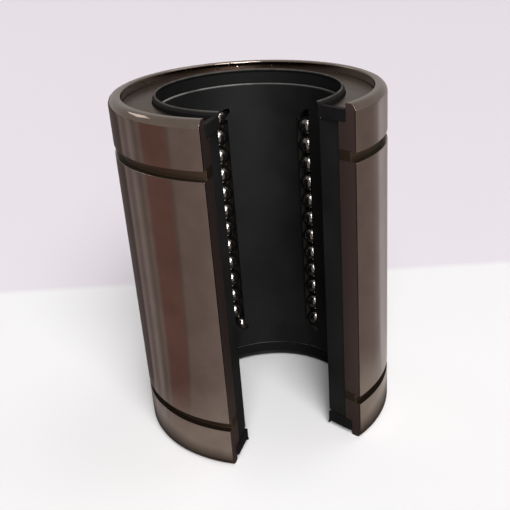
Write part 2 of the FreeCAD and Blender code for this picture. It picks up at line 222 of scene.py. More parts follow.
class BushingStage(bpy.types.PropertyGroup):
    """Floor, light and camera"""

    floor: colour("Floor", "Floor in front of the object", "#f8f7f8")
    wall: colour("Far floor", "Floor behind the object", "#ece6ed")
    room: colour("Room", "Pale room all round", "#f3eeea")
    near_tone: colour("Near tone", "Toned card close to the object", "#d0ccc8")
    # painted shade on the card right under the sleeve's edge, seen in reflections
    edge_shade_tone: colour("Dark tone", "Toned card right under the sleeve's edge", "#5a5350")
    stripe_shade: colour("Shade stripe", "Darkest stripe of the toned card, at its left", "#605654")
    stripe_dusk: colour("Dusk stripe", "Toned card behind the object", "#7d7374")
    stripe_brown: colour("Brown stripe", "Broad brown stripe of the toned card", "#957771")
    stripe_grey: colour("Grey stripe", "Narrow stripes beside the brown one", "#8c7f7e")
    stripe_pale: colour("Pale stripe", "Stripes between the narrow ones", "#a29695")
    stripe_light: colour("Light stripe", "Toned card in front of the object", "#b4adad")
    stripe_white: colour("White stripe", "Brightest stripe of the toned card, at its right", "#dfd8dd")
    fold: length("Fold", "How far behind the origin the floor's colour changes", 71.6 * MM)
    fold_angle: angle("Fold angle", "Turn of the line where the floor's colour changes",
                      math.radians(-13.35))
    card_reach: length("Card reach", "Outer radius of the toned card that only reflections show", 2.9)
    card_fade: length("Card fade", "How far out the card reaches its full tone", 0.06)
    key_light: strength("Key light", "Large soft lamp in front", 3.1)
    fill_light: strength("Fill light", "Weak soft lamp at the right", 0.4)
    front_light: strength("Front light", "Small lamp that reaches the balls, in watts", 0.7)
    pane_light: strength("Pane light", "Each of the panes behind, in watts", 0.3)
    room_light: strength("Room light", "Light that the pale room sheds on the object", 0.15)
    room_shine: strength("Room shine", "Brightness of the pale room in reflections", 0.5)
    room_view: strength("Room view", "Brightness of the pale room behind the floor", 0.9)
    camera_place: bpy.props.FloatVectorProperty(
        name="Camera place", description="Where the camera stands", subtype="TRANSLATION",
        unit="LENGTH", default=(-0.03672, -0.17442, 0.07851))
    camera_turn: bpy.props.FloatVectorProperty(
        name="Camera turn", description="How the camera is turned", subtype="EULER",
        default=tuple(math.radians(a) for a in (63.2332, 1.6224, -18.0407)))
    focal_pixels: bpy.props.FloatProperty(
        name="Focal length in pixels", description="Focal length over the size of a pixel", default=811.8)
    shift: bpy.props.FloatVectorProperty(
        name="Shift", description="Offset of an off-centre crop", size=2, default=(-0.151, 0.0745))


def add_node(tree, kind, inputs=None, **settings):
    """Add one node, set its properties, and fill or link its inputs by name or number. A node given
    for an input is linked by its first output in use."""
    node = tree.nodes.new(kind)
    for name, value in settings.items():
        setattr(node, name, value)
    for key, value in (inputs or {}).items():
        if isinstance(value, bpy.types.Node):
            value = next(socket for socket in value.outputs if socket.enabled)
        if isinstance(value, bpy.types.NodeSocket):
            tree.links.new(value, node.inputs[key])
        else:
            node.inputs[key].default_value = value
    return node


def all_of(tree, *masks):
    """Multiply masks, so that only what lies in all of them stays."""
    whole = masks[0]
    for mask in masks[1:]:
        whole = add_node(tree, "ShaderNodeMath", {0: whole, 1: mask}, operation="MULTIPLY")
    return whole


def from_axis(tree, place):
    """Distance from the bore's axis."""
    flat = add_node(tree, "ShaderNodeVectorMath", {0: place, 1: (1.0, 1.0, 0.0)}, operation="MULTIPLY")
    return add_node(tree, "ShaderNodeVectorMath", {0: flat}, operation="LENGTH")


def split(tree, place):
    """A point's coordinates, and its distance from the mid-plane."""
    axes = add_node(tree, "ShaderNodeSeparateXYZ", {"Vector": place}).outputs
    return axes, add_node(tree, "ShaderNodeMath", {0: axes["Z"]}, operation="ABSOLUTE")


def from_slot(tree, axes):
    """Angle round the bore from the slot's middle, counted the same to both sides."""
    side = add_node(tree, "ShaderNodeMath", {0: axes["X"]}, operation="ABSOLUTE")
    front = add_node(tree, "ShaderNodeMath", {0: axes["Y"], 1: -1.0}, operation="MULTIPLY")
    return add_node(tree, "ShaderNodeMath", {0: side, 1: front}, operation="ARCTAN2")


def new_material(name):
    """Start a material with an empty tree; return it with its tree and Object coordinates."""
    material = bpy.data.materials.new(name)
    material.use_nodes = True
    tree = material.node_tree
    tree.nodes.clear()
    place = add_node(tree, "ShaderNodeTexCoord").outputs["Object"]
    return material, tree, place


def close_material(tree, **inputs):
    """Add the surface shader with these inputs and the output."""
    named = {key.replace("_", " "): value for key, value in inputs.items()}
    shader = add_node(tree, "ShaderNodeBsdfPrincipled", named)
    add_node(tree, "ShaderNodeOutputMaterial", {"Surface": shader})


def per_size(size):
    """Texture scale that draws a pattern at this real size in metres."""
    return 1.0 / size


def ground_steel(sizes, colours):
    """Hardened bearing steel, cylindrically ground outside. The wheel leaves fine marks round the
    sleeve that draw reflections out along its length. Grooves and flanks were cut before hardening
    and keep its dark scale."""
    material, tree, place = new_material("Ground bearing steel")
    axes, lift = split(tree, place)
    skin_depth, end_depth, flank_edge = (0.5 * MM, 0.1 * MM), (1.9 * MM, 1.5 * MM), math.radians(0.3)
    skin = add_node(tree, "ShaderNodeMapRange", {
        "Value": from_axis(tree, place), "From Min": sizes.outer_radius - skin_depth[0],
        "From Max": sizes.outer_radius - skin_depth[1]})
    end = add_node(tree, "ShaderNodeMapRange", {
        "Value": lift, "From Min": sizes.half_length - end_depth[0],
        "From Max": sizes.half_length - end_depth[1]})
    off_flank = add_node(tree, "ShaderNodeMath", {
        0: from_slot(tree, axes), 1: sizes.slot_angle + flank_edge}, operation="GREATER_THAN")
    ground = add_node(tree, "ShaderNodeMath", {
        0: skin, 1: all_of(tree, end, off_flank)}, operation="MAXIMUM")
    # the real marks are about 0.03 mm apart, drawn at 0.4 mm so that they show
    stretch = add_node(tree, "ShaderNodeMapping", {
        "Vector": place, "Scale": (per_size(18 * MM), per_size(18 * MM), per_size(0.4 * MM))})
    marks = add_node(tree, "ShaderNodeTexNoise", {
        "Vector": stretch, "Scale": 1.0, "Detail": 3.0, "Roughness": 0.6})
    # a film of oil in patches of about 7 mm
    film = add_node(tree, "ShaderNodeTexNoise", {
        "Vector": place, "Scale": per_size(7 * MM), "Detail": 4.0, "Roughness": 0.55})
    film_part = add_node(tree, "ShaderNodeMapRange", {"Value": film, "From Min": 0.42, "From Max": 0.62})
    skin_colour = add_node(tree, "ShaderNodeMix", {
        "Factor": film_part, "A": colours.ground, "B": colours.stained}, data_type="RGBA")
    # a ring groove with the broken edges of its mouth, painted darker than the scale: partly oil, partly
    # painted shade in the groove
    groove_reach = 0.55 * sizes.groove_width
    groove = add_node(tree, "ShaderNodeMath", {
        0: lift, 1: sizes.groove_place, 2: groove_reach}, operation="COMPARE")
    rough_colour = add_node(tree, "ShaderNodeMix", {
        "Factor": groove, "A": colours.scale, "B": colours.groove}, data_type="RGBA")
    base = add_node(tree, "ShaderNodeMix", {
        "Factor": ground, "A": rough_colour, "B": skin_colour}, data_type="RGBA")
    gloss = add_node(tree, "ShaderNodeMapRange", {"Value": marks, "To Min": 0.05, "To Max": 0.09})
    roughness = add_node(tree, "ShaderNodeMix", {"Factor": ground, "A": 0.42, "B": gloss})
    bump = add_node(tree, "ShaderNodeBump", {"Height": marks, "Strength": 0.4, "Distance": 0.003 * MM})
    # knocks of about 1.8 mm on the rim, on the half away from the slot
    knocks = add_node(tree, "ShaderNodeTexNoise", {
        "Vector": place, "Scale": per_size(1.8 * MM), "Detail": 3.0})
    dents = add_node(tree, "ShaderNodeMapRange", {"Value": knocks, "From Min": 0.6, "From Max": 0.8})
    back = add_node(tree, "ShaderNodeMapRange", {"Value": axes["Y"], "From Min": 0.0, "From Max": 12 * MM})
    nicked = add_node(tree, "ShaderNodeBump", {
        "Height": all_of(tree, back, end, dents), "Normal": bump, "Strength": 0.7, "Distance": 0.12 * MM})
    close_material(tree, Base_Color=base, Metallic=1.0, Roughness=roughness, Normal=nicked)
    return material


def plate_steel(colours):
    """Sheet steel, chemically blackened and oiled: brown-black with a soft sheen, fine straight rolling
    lines and patches of oil."""
    material, tree, place = new_material("Blackened sheet steel")
    # rolling lines are about 0.05 mm apart, drawn at 0.35 mm so that they show
    stretch = add_node(tree, "ShaderNodeMapping", {
        "Vector": place, "Scale": (per_size(0.35 * MM), per_size(12 * MM), per_size(12 * MM))})
    lines = add_node(tree, "ShaderNodeTexNoise", {"Vector": stretch, "Scale": 1.0, "Detail": 2.0})
    oil = add_node(tree, "ShaderNodeTexNoise", {"Vector": place, "Scale": per_size(9 * MM), "Detail": 3.0})
    patch = add_node(tree, "ShaderNodeMapRange", {"Value": oil, "From Min": 0.4, "From Max": 0.65})
    base = add_node(tree, "ShaderNodeMix", {
        "Factor": patch, "A": colours.plate, "B": colours.plate_oil}, data_type="RGBA")
    gloss = add_node(tree, "ShaderNodeMapRange", {
        "Value": oil, "From Min": 0.3, "From Max": 0.7, "To Min": 0.36, "To Max": 0.24})
    bump = add_node(tree, "ShaderNodeBump", {"Height": lines, "Strength": 0.4, "Distance": 0.005 * MM})
    close_material(tree, Base_Color=base, Metallic=1.0, Roughness=gloss, Normal=bump)
    return material


def moulded_resin(sizes, colours):
    """Acetal resin with black pigment, injection moulded: a dull skin with a fine even texture, faint
    flow clouds, a painted highlight on the bore's end chamfers, and grease in the tracks, partly painted
    light."""
    material, tree, place = new_material("Black acetal resin")
    # the mould's spark texture is about 0.1 mm, drawn at 0.25 mm so that it shows
    grain = add_node(tree, "ShaderNodeTexNoise", {
        "Vector": place, "Scale": per_size(0.25 * MM), "Detail": 2.0})
    cloud = add_node(tree, "ShaderNodeTexNoise", {
        "Vector": place, "Scale": per_size(11 * MM), "Detail": 3.0})
    tone = add_node(tree, "ShaderNodeMapRange", {
        "Value": cloud, "From Min": 0.3, "From Max": 0.7, "To Min": 0.75, "To Max": 1.3})
    skin = add_node(tree, "ShaderNodeVectorMath", {0: colours.resin[:3], "Scale": tone}, operation="SCALE")
    axes, lift = split(tree, place)
    radius = from_axis(tree, place)
    # the chamfers at the ends of the bore, which carry a painted highlight in light grey patches
    rim = add_node(tree, "ShaderNodeMapRange", {
        "Value": lift, "From Min": RETAINER_HIGH.z - 0.8 * sizes.bore_chamfer,
        "From Max": RETAINER_HIGH.z - 0.4 * sizes.bore_chamfer})
    bore = add_node(tree, "ShaderNodeMath", {
        0: radius, 1: SHAFT_BORE + 1.1 * sizes.bore_chamfer}, operation="LESS_THAN")
    highlight_patches = add_node(tree, "ShaderNodeMapRange", {
        "Value": cloud, "From Min": 0.4, "From Max": 0.62, "To Min": 0.3, "To Max": 1.0})
    # painted highlight: the chamfers are mixed towards a light grey, broken into cloudy patches
    rubbed = add_node(tree, "ShaderNodeMix", {
        "Factor": all_of(tree, rim, bore, highlight_patches), "A": skin, "B": colours.resin_rim_highlight}, data_type="RGBA")
    # the ball tracks lie deeper than the lips of their windows, and away from the slot and the ends; their
    # grey is partly grease and partly painted light where the tracks lie in shade
    flank, lip_depth = gap_angle(RETAINER_LOW, RETAINER_HIGH.x) + math.radians(1.0), 1.5 * MM
    inside = add_node(tree, "ShaderNodeMath", {
        0: from_slot(tree, axes), 1: flank}, operation="GREATER_THAN")
    deep = add_node(tree, "ShaderNodeMath", {
        0: radius, 1: SHAFT_BORE + lip_depth}, operation="GREATER_THAN")
    level = add_node(tree, "ShaderNodeMath", {
        0: lift, 1: RETAINER_HIGH.z - 2 * sizes.bore_chamfer}, operation="LESS_THAN")
    # partly grease, partly painted light: the shaded tracks are mixed towards a light grey
    base = add_node(tree, "ShaderNodeMix", {
        "Factor": all_of(tree, inside, deep, level), "A": rubbed, "B": colours.grease}, data_type="RGBA")
    gloss = add_node(tree, "ShaderNodeMapRange", {
        "Value": cloud, "From Min": 0.3, "From Max": 0.7, "To Min": 0.5, "To Max": 0.65})
    bump = add_node(tree, "ShaderNodeBump", {"Height": grain, "Strength": 0.35, "Distance": 0.02 * MM})
    close_material(tree, Base_Color=base, Roughness=gloss, IOR=1.48, Specular_IOR_Level=0.2, Normal=bump)
    return material


def seal_rubber(colours):
    """Nitrile rubber, compression moulded: dull black, with a painted highlight in greyer patches on the
    lip's top.
    """
    material, tree, place = new_material("Nitrile rubber")
    _, lift = split(tree, place)
    rim_depth = 0.35 * MM
    rim = add_node(tree, "ShaderNodeMapRange", {
        "Value": lift, "From Min": SEAL_HIGH.z - rim_depth, "From Max": SEAL_HIGH.z})
    # bloom and dust patches a few millimetres across
    dust = add_node(tree, "ShaderNodeTexNoise", {"Vector": place, "Scale": per_size(3 * MM), "Detail": 4.0})
    # painted highlight: the lip's top is mixed towards a lighter grey in dust patches
    base = add_node(tree, "ShaderNodeMix", {
        "Factor": all_of(tree, rim, dust),
        "A": colours.rubber, "B": colours.rubber_lip_highlight}, data_type="RGBA")
    gloss = add_node(tree, "ShaderNodeMapRange", {
        "Value": dust, "From Min": 0.3, "From Max": 0.7, "To Min": 0.6, "To Max": 0.75})
    # the mould's texture, about 0.3 mm
    grain = add_node(tree, "ShaderNodeTexNoise", {
        "Vector": place, "Scale": per_size(0.3 * MM), "Detail": 2.0})
    bump = add_node(tree, "ShaderNodeBump", {"Height": grain, "Strength": 0.3, "Distance": 0.02 * MM})
    close_material(tree, Base_Color=base, Roughness=gloss, IOR=1.52, Specular_IOR_Level=0.15, Normal=bump)
    return material


def ball_steel(colours):
    """Chrome bearing steel, lapped to a mirror; a film of grease dulls it to a faint grey in patches."""
    material, tree, place = new_material("Lapped bearing steel")
    grease = add_node(tree, "ShaderNodeTexNoise", {
        "Vector": place, "Scale": per_size(2.5 * MM), "Detail": 2.0})
    gloss = add_node(tree, "ShaderNodeMapRange", {
        "Value": grease, "From Min": 0.35, "From Max": 0.7, "To Min": 0.06, "To Max": 0.12})
    tone = add_node(tree, "ShaderNodeMapRange", {
        "Value": grease, "From Min": 0.35, "From Max": 0.7, "To Min": 1.0, "To Max": 0.85})
    base = add_node(tree, "ShaderNodeVectorMath", {0: colours.ball[:3], "Scale": tone}, operation="SCALE")
    # beads of grease about 0.7 mm across
    beads = add_node(tree, "ShaderNodeTexNoise", {
        "Vector": place, "Scale": per_size(0.7 * MM), "Detail": 1.0})
    bump = add_node(tree, "ShaderNodeBump", {"Height": beads, "Strength": 1.0, "Distance": 0.02 * MM})
    close_material(tree, Base_Color=base, Metallic=0.97, Roughness=gloss, Normal=bump)
    return material


def corner_sides(corners, i):
    """A corner's place, the directions back to the last one and ahead to the next, and half the angle
    between them."""
    here, last, following = (Vector(corners[k % len(corners)][:2]) for k in (i, i - 1, i + 1))
    back, ahead = (last - here).normalized(), (following - here).normalized()
    return here, back, ahead, back.angle(ahead) / 2


def rounded_section(corners):
    """Points of a closed section whose corners (radius, height, rounding) are rounded off. Each straight
    run gets a point near both ends, so that smooth shading stays within the rounding."""
    points = []
    count = len(corners)
    reaches = [corners[i][2] / math.tan(corner_sides(corners, i)[3]) for i in range(count)]
    for i, (_, _, rounding) in enumerate(corners):
        here, back, ahead, half = corner_sides(corners, i)
        start, stop = here + back * reaches[i], here + ahead * reaches[i]
        centre = here + (back + ahead).normalized() * rounding / math.sin(half)
        held = []
        for side, other, end in ((back, i - 1, start), (ahead, (i + 1) % count, stop)):
            run = (Vector(corners[other][:2]) - here).length - reaches[i] - reaches[other]
            held.append(end + side * min(HOLD, HOLD_SHARE * run))
        first, last = start - centre, stop - centre
        bend = [centre + first.lerp(last, k / CORNER_STEPS).normalized() * rounding
                for k in range(CORNER_STEPS + 1)]
        points += [held[0], *bend, held[1]]
    return points


def section_mesh(name, points, rail):
    """A closed loop of edges for the sweep: outward from the rail along X, downwards along Y."""
    mesh = bpy.data.meshes.new(name)
    verts = [(p.x - rail, -p.y, 0.0) for p in points]
    mesh.from_pydata(verts, [(i, (i + 1) % len(verts)) for i in range(len(verts))], [])
    return mesh


def start_tree(name, **sockets):
    """Start a geometry tree with a material input and the inputs named for each kind of socket; return
    it and its group input's sockets."""
    tree = bpy.data.node_groups.new(name, "GeometryNodeTree")
    for kind, labels in {"Geometry": ["Geometry"], **sockets, "Material": ["Material"]}.items():
        for label in labels:
            tree.interface.new_socket(label, in_out="INPUT", socket_type=f"NodeSocket{kind}")
    tree.interface.new_socket("Geometry", in_out="OUTPUT", socket_type="NodeSocketGeometry")
    return tree, add_node(tree, "NodeGroupInput").outputs


def end_tree(tree, geometry, material):
    """Shade smooth, make instances real, set the material and close the tree."""
    smooth = add_node(tree, "GeometryNodeSetShadeSmooth", {"Geometry": geometry})
    real = add_node(tree, "GeometryNodeRealizeInstances", {"Geometry": smooth})
    painted = add_node(tree, "GeometryNodeSetMaterial", {"Geometry": real, "Material": material})
    add_node(tree, "NodeGroupOutput", {"Geometry": painted})
    return tree


def slotted_ring_tree():
    """Sweep a section round the bore, leaving the shaft slot open."""
    tree, given = start_tree("Slotted ring", Float=["Rail radius", "Start angle", "Sweep angle"],
                             Int=["Steps"])
    section = add_node(tree, "GeometryNodeMeshToCurve", {"Mesh": given["Geometry"]})
    arc = add_node(tree, "GeometryNodeCurveArc", {
        "Resolution": given["Steps"], "Radius": given["Rail radius"],
        "Start Angle": given["Start angle"], "Sweep Angle": given["Sweep angle"]})
    upright = add_node(tree, "GeometryNodeSetCurveNormal", {"Curve": arc}, mode="Z_UP")
    swept = add_node(tree, "GeometryNodeCurveToMesh", {
        "Curve": upright, "Profile Curve": section, "Fill Caps": True})
    outward = add_node(tree, "GeometryNodeFlipFaces", {"Mesh": swept})
    return end_tree(tree, outward, given["Material"])


def raised_strips_tree():
    """Raise strips that repeat round the bore out of a ring's faces between two radii and two heights."""
    tree, given = start_tree("Raised strips", Float=[
        "Inner radius", "Outer radius", "Low", "High", "Rise", "First angle", "Step angle", "Strip angle"])
    place = add_node(tree, "GeometryNodeInputPosition")
    radius = from_axis(tree, place)
    axes, lift = split(tree, place)
    front = add_node(tree, "ShaderNodeMath", {0: axes["Y"], 1: -1.0}, operation="MULTIPLY")
    around = add_node(tree, "ShaderNodeMath", {0: axes["X"], 1: front}, operation="ARCTAN2")
    past = add_node(tree, "ShaderNodeMath", {0: around, 1: given["First angle"]}, operation="SUBTRACT")
    turned = add_node(tree, "ShaderNodeMath", {0: past, 1: 2 * math.pi, 2: 0.0}, operation="WRAP")
    share = add_node(tree, "ShaderNodeMath", {0: turned, 1: given["Step angle"]}, operation="MODULO")
    tests = (
        (radius, "GREATER_THAN", "Inner radius"), (radius, "LESS_THAN", "Outer radius"),
        (lift, "GREATER_THAN", "Low"), (lift, "LESS_THAN", "High"),
        (share, "LESS_THAN", "Strip angle"),
    )
    passed = [add_node(tree, "ShaderNodeMath", {0: value, 1: given[limit]}, operation=operation)
              for value, operation, limit in tests]
    raised = add_node(tree, "GeometryNodeExtrudeMesh", {
        "Mesh": given["Geometry"], "Selection": all_of(tree, *passed), "Offset Scale": given["Rise"],
        "Individual": False})
    return end_tree(tree, raised, given["Material"])


def balls_on(tree, points, given):
    """Put a ball on each point and close the tree."""
    ball = add_node(tree, "GeometryNodeMeshIcoSphere", {
        "Radius": given["Ball radius"], "Subdivisions": given["Facets"]})
    balls = add_node(tree, "GeometryNodeInstanceOnPoints", {"Points": points, "Instance": ball})
    return end_tree(tree, balls, given["Material"])


def ball_row_tree():
    """Balls in a straight row, one pitch apart along the bore."""
    tree, given = start_tree("Ball row", Int=["Count", "Facets"], Float=["Pitch", "Ball radius"],
                             Vector=["First centre"])
    step = add_node(tree, "ShaderNodeCombineXYZ", {"Z": given["Pitch"]})
    line = add_node(tree, "GeometryNodeMeshLine", {
        "Count": given["Count"], "Start Location": given["First centre"], "Offset": step}, mode="OFFSET")
    return balls_on(tree, line, given)


def ball_turn_tree():
    """Balls in a half-round turn, equal angles apart from the end of the loaded row onwards."""
    tree, given = start_tree(
        "Ball turn", Int=["Count", "Facets"], Vector=["Turn centre", "Inlet", "Outward"],
        Float=["First angle", "Step angle", "Turn radius", "Ball radius"])
    line = add_node(tree, "GeometryNodeMeshLine", {"Count": given["Count"]}, mode="OFFSET")
    index = add_node(tree, "GeometryNodeInputIndex")
    turned = add_node(tree, "ShaderNodeMath", {
        0: index, 1: given["Step angle"], 2: given["First angle"]}, operation="MULTIPLY_ADD")
    parts = []
    for operation, direction in (("COSINE", "Inlet"), ("SINE", "Outward")):
        share = add_node(tree, "ShaderNodeMath", {0: turned}, operation=operation)
        reach = add_node(tree, "ShaderNodeMath", {0: share, 1: given["Turn radius"]}, operation="MULTIPLY")
        parts.append(add_node(tree, "ShaderNodeVectorMath", {
            0: given[direction], "Scale": reach}, operation="SCALE"))
    spoke = add_node(tree, "ShaderNodeVectorMath", {0: parts[0], 1: parts[1]}, operation="ADD")
    centre = add_node(tree, "ShaderNodeVectorMath", {0: spoke, 1: given["Turn centre"]}, operation="ADD")
    placed = add_node(tree, "GeometryNodeSetPosition", {"Geometry": line, "Position": centre})
    return balls_on(tree, placed, given)


def tree_once(name, make):
    """Return a geometry tree by name, built on first use."""
    return bpy.data.node_groups.get(name) or make()


def grow(name, stages, mesh=None, edge_break=0.0):
    """Run geometry trees, each with its values, on a new object and keep a plain mesh at the origin."""
    piece = bpy.data.objects.new(name, mesh or bpy.data.meshes.new(name))
    bpy.context.scene.collection.objects.link(piece)
    for tree, values in stages:
        modifier = piece.modifiers.new(tree.name, "NODES")
        modifier.node_group = tree
        for item in tree.interface.items_tree:
            if item.in_out == "INPUT" and item.name in values:
                modifier[item.identifier] = values[item.name]
    if edge_break:
        bevel = piece.modifiers.new("Edge break", "BEVEL")
        bevel.limit_method = "ANGLE"
        bevel.angle_limit = BREAK_ANGLE
        bevel.width = edge_break
        bevel.segments = 2
        bevel.use_clamp_overlap = False
        bevel.harden_normals = True
    graph = bpy.context.evaluated_depsgraph_get()
    made = bpy.data.meshes.new_from_object(piece.evaluated_get(graph))
    piece.modifiers.clear()
    piece.data = made
    made.name = name
    if not edge_break:
        made.set_sharp_from_angle(angle=SMOOTH_ANGLE)
    if not made.polygons:
        raise RuntimeError(f"{name} came out empty")
    return piece


def stand_for(piece, body, node):
    """Let a piece ride on its body in place of a solid, after a look at its size."""
    lowest, highest = piece.bound_box[0], piece.bound_box[6]
    corners = zip((lowest, highest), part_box(node))
    worst = max(abs(made - meant) for corner in corners for made, meant in zip(*corner))
    if worst > MISS:
        raise RuntimeError(f"{piece.name} differs from {node} by {worst / MM:.3f} mm")
    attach(piece, body)
    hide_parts(node)


def make_ring(name, corners, half_gap, sizes, material, node, strips=(), edge_break=0.0):
    """Sweep one section into a slotted ring, raise its strips, and let it stand for a solid."""
    points = rounded_section(corners)
    rail = max(p.x for p in points)
    ring = {"Rail radius": rail, "Start angle": half_gap - math.pi / 2,
            "Sweep angle": 2 * (math.pi - half_gap), "Steps": sizes.steps, "Material": material}
    stages = [(tree_once("Slotted ring", slotted_ring_tree), ring)]
    for strip in strips:
        stages.append((tree_once("Raised strips", raised_strips_tree), {**strip, "Material": material}))
    piece = grow(name, stages, section_mesh(name, points, rail), edge_break)
    stand_for(piece, BODY, node)


def make_both_ends(name, upper, half_gap, sizes, material, strips=()):
    """Make a ring at the upper end and its mirror image at the lower one."""
    for end, corners in (("upper", upper), ("lower", mirrored(upper))):
        make_ring(f"{name}_{end}", corners, half_gap, sizes, material, f"{end}_{name}", strips)


def beside_slot(half_gap, width):
    """Angles of two strips of this width, one along each side of the slot."""
    return {"First angle": half_gap, "Step angle": 2 * (math.pi - half_gap) - width, "Strip angle": width}


def mirrored(corners):
    """The same section at the other end, still running the same way round."""
    return [(x, -z, rounding) for x, z, rounding in reversed(corners)]


def sleeve_corners(sizes):
    """Corners of the sleeve's section, up the outside and down the inside."""
    outer, end = sizes.outer_radius, sizes.half_length
    groove_low = sizes.groove_place - sizes.groove_width / 2
    groove_high = sizes.groove_place + sizes.groove_width / 2
    upper = [
        (outer, groove_low, CORNER),
        (sizes.groove_floor, groove_low, CORNER),
        (sizes.groove_floor, groove_high, CORNER),
        (outer, groove_high, CORNER),
        (outer, end, sizes.edge_round),
        (sizes.pocket_radius, end, MOUTH),
        (sizes.pocket_radius, sizes.pocket_floor, CORNER),
        (sizes.sleeve_bore, sizes.pocket_floor, CORNER),
    ]
    return upper + mirrored(upper)


def settings(context):
    """The user's sizes and colours."""
    return context.scene.bushing_sizes, context.scene.bushing_colours


class BUSHING_OT_sleeve(bpy.types.Operator):
    """Make the ground steel sleeve with its slot and two ring grooves"""

    bl_idname = "bushing.sleeve"
    bl_label = "Make sleeve"

    def execute(self, context):
        sizes, colours = settings(context)
        make_ring("sleeve", sleeve_corners(sizes), sizes.slot_angle, sizes, ground_steel(sizes, colours),
                  "outer_sleeve", self.strips(sizes), sizes.edge_break)
        return {"FINISHED"}

    def strips(self, sizes):
        """Raceway lands and the thicker strips beside the slot, raised out of the bore."""
        row = (ROW_LOW + ROW_HIGH) / 2
        bore = {"Inner radius": sizes.sleeve_bore - PICK, "Outer radius": sizes.sleeve_bore + PICK,
                "Low": -sizes.pocket_floor, "High": sizes.pocket_floor - CORNER}
        lands = {**bore, "Rise": sizes.land_rise, "Strip angle": sizes.land_angle,
                 "First angle": math.atan2(row.x, -row.y) - sizes.land_angle / 2,
                 "Step angle": 2 * (math.pi - sizes.slot_angle) / CIRCUITS}
        edges = {**bore, "Rise": sizes.strip_rise, **beside_slot(sizes.slot_angle, sizes.strip_angle)}
        return lands, edges


class BUSHING_OT_retainer(bpy.types.Operator):
    """Give the ball retainer its moulded resin"""

    bl_idname = "bushing.retainer"
    bl_label = "Finish retainer"

    def execute(self, context):
        node = frame["nodes"]["ball_retainer"]
        node.data.materials.clear()
        node.data.materials.append(moulded_resin(*settings(context)))
        return {"FINISHED"}


class BUSHING_OT_seals(bpy.types.Operator):
    """Make the two rubber end seals with their collars"""

    bl_idname = "bushing.seals"
    bl_label = "Make seals"

    def execute(self, context):
        sizes, colours = settings(context)
        flange, root = PLATE_LOW.z, SEAL_HIGH.z - sizes.lip_height
        upper = [
            (sizes.collar_bore, SEAL_LOW.z, CORNER),
            (SEAL_HIGH.x, SEAL_LOW.z, CORNER),
            (SEAL_HIGH.x, flange, CORNER),
            (sizes.collar_radius, flange, SHARP),
            (sizes.collar_radius, root, CORNER),
            (sizes.lip_radius + sizes.lip_round, SEAL_HIGH.z, SHARP),
            (sizes.lip_radius, SEAL_HIGH.z, sizes.lip_round / 2),
            (sizes.lip_radius, SEAL_HIGH.z - sizes.lip_round, SHARP),
            (sizes.collar_bore, root, CORNER),
        ]
        gap = gap_angle(SEAL_LOW, SEAL_HIGH.x)
        ribs = {"Inner radius": sizes.collar_radius + SHARP, "Outer radius": SEAL_HIGH.x - CORNER,
                "Low": flange - PICK, "High": flange + PICK, "Rise": root - flange,
                **beside_slot(gap, sizes.rib_angle)}
        make_both_ends("seal", upper, gap, sizes, seal_rubber(colours), [ribs])
        return {"FINISHED"}


class BUSHING_OT_plates(bpy.types.Operator):
    """Make the two steel plates that back the seals"""

    bl_idname = "bushing.plates"
    bl_label = "Make seal plates"

    def execute(self, context):
        sizes, colours = settings(context)
        upper = [
            (sizes.plate_bore, PLATE_LOW.z, sizes.plate_round),
            (PLATE_HIGH.x, PLATE_LOW.z, sizes.plate_round),
            (PLATE_HIGH.x, PLATE_HIGH.z, sizes.plate_round),
            (sizes.plate_bore, PLATE_HIGH.z, sizes.plate_round),
        ]
        gap = gap_angle(PLATE_LOW, PLATE_HIGH.x)
        make_both_ends("seal_plate", upper, gap, sizes, plate_steel(colours))
        return {"FINISHED"}


class BUSHING_OT_balls(bpy.types.Operator):
    """Make the balls of every circuit: two straight rows and two turns"""

    bl_idname = "bushing.balls"
    bl_label = "Make balls"

    def execute(self, context):
        sizes, colours = settings(context)
        steel = ball_steel(colours)
        common = {"Ball radius": sizes.ball_diameter / 2, "Facets": sizes.ball_facets, "Material": steel}
        for number in range(1, CIRCUITS + 1):
            for kind in ("loaded_row", "return_row"):
                self.row(f"{kind}_{number}", common)
            for end in (1, -1):
                self.turn(number, end, common)
        return {"FINISHED"}

    def row(self, node, common):
        """One straight row, counted from its solid's length and its joint's travel."""
        low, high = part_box(node)
        radius = common["Ball radius"]
        span = high.z - low.z - 2 * radius
        back, ahead = JOINTS[node]["range_m"]
        gaps = round(span / (ahead - back))
        middle = (low + high) / 2
        values = {**common, "Count": gaps + 1, "Pitch": span / gaps,
                  "First centre": (middle.x, middle.y, low.z + radius)}
        piece = grow(f"balls_{node}", [(tree_once("Ball row", ball_row_tree), values)])
        stand_for(piece, node, node)

    def turn(self, number, end, common):
        """One turn, from its joint's centre, axis and travel."""
        node = f"{'upper' if end > 0 else 'lower'}_turn_{number}"
        joint = JOINTS[node]
        low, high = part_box(f"loaded_row_{number}")
        centre = Vector(joint["pos_m"])
        inlet = Vector(joint["axis"]).cross(Vector((0.0, 0.0, -end)))
        first, last = (math.radians(a) for a in joint["range_deg"])
        count = round(math.pi / (last - first))
        values = {
            **common, "Count": count, "First angle": -first, "Step angle": math.pi / count,
            "Turn radius": abs(((low + high) / 2 - centre).dot(inlet)), "Turn centre": centre,
            "Inlet": inlet, "Outward": Vector((0.0, 0.0, end))}
        piece = grow(f"balls_{node}", [(tree_once("Ball turn", ball_turn_tree), values)])
        stand_for(piece, node, node)


def floor_paper(stage):
    """Matt paper whose colour changes softly along a line behind the object."""
    material, tree, place = new_material("Matt paper")
    turned = add_node(tree, "ShaderNodeMapping", {
        "Vector": place, "Rotation": (0.0, 0.0, -stage.fold_angle)})
    axes = add_node(tree, "ShaderNodeSeparateXYZ", {"Vector": turned}).outputs
    part = add_node(tree, "ShaderNodeMapRange", {
        "Value": axes["Y"], "From Min": stage.fold - FOLD_SOFT, "From Max": stage.fold + FOLD_SOFT})
    base = add_node(tree, "ShaderNodeMix", {
        "Factor": part, "A": stage.floor, "B": stage.wall}, data_type="RGBA")
    close_material(tree, Base_Color=base, **PAPER)
    return material


